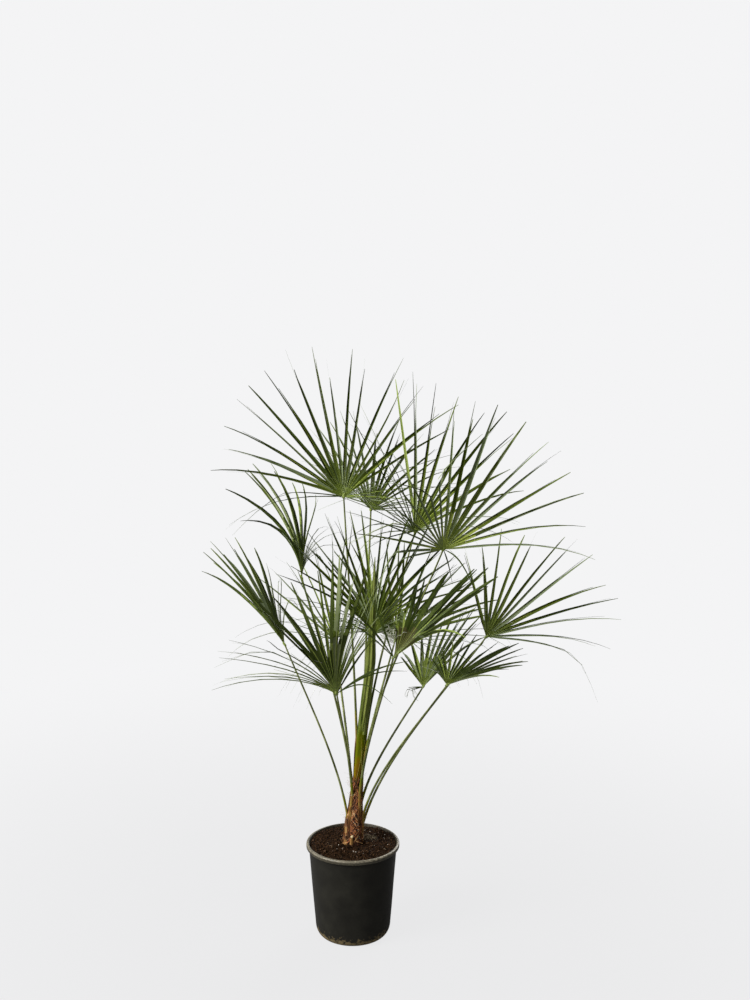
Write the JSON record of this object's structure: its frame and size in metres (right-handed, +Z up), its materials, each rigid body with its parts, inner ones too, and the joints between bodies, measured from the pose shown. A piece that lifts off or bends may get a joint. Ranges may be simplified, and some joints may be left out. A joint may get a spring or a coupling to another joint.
{
  "type": "potted european fan palm",
  "caption": "Potted fan palm: a dark nursery pot full of soil, a short fibrous trunk, a closed spear leaf and fan-shaped fronds on long thin stalks.",
  "frame": {"origin": "centre of the pot's flat underside", "axes": "+Z up along the pot's axis, -Y towards the side that the picture shows, +X to its right"},
  "size_m": [1.0453, 0.8181, 1.5051],
  "materials": {
    "pot_plastic": "dull dark grey-green plastic",
    "soil": "dark crumbly potting soil",
    "trunk_fibre": "red-brown matted fibre",
    "sheath": "olive green leaf bases",
    "spear": "olive green closed leaf",
    "cut_base": "pale cut leaf bases",
    "stalk": "satin olive green",
    "blade": "satin dark green leaf"
  },
  "bodies": {
    "root": {"pot": "pot_plastic", "soil": "soil", "trunk": "trunk_fibre", "sheath": "sheath", "spear": "spear", "leaf_base_01": "cut_base", "leaf_base_02": "cut_base", "leaf_base_03": "cut_base", "stalk_01": "stalk", "stalk_02": "stalk", "stalk_03": "stalk", "stalk_04": "stalk", "stalk_05": "stalk", "stalk_06": "stalk", "stalk_07": "stalk", "stalk_08": "stalk", "stalk_09": "stalk", "stalk_10": "stalk", "stalk_11": "stalk", "stalk_12": "stalk", "stalk_13": "stalk", "stalk_14": "stalk", "frond_01": "blade", "frond_02": "blade", "frond_03": "blade", "frond_04": "blade", "frond_05": "blade", "frond_06": "blade", "frond_07": "blade", "frond_08": "blade", "frond_09": "blade", "frond_10": "blade", "frond_11": "blade", "frond_12": "blade", "frond_13": "blade", "frond_14": "blade"}
  },
  "joints": []
}
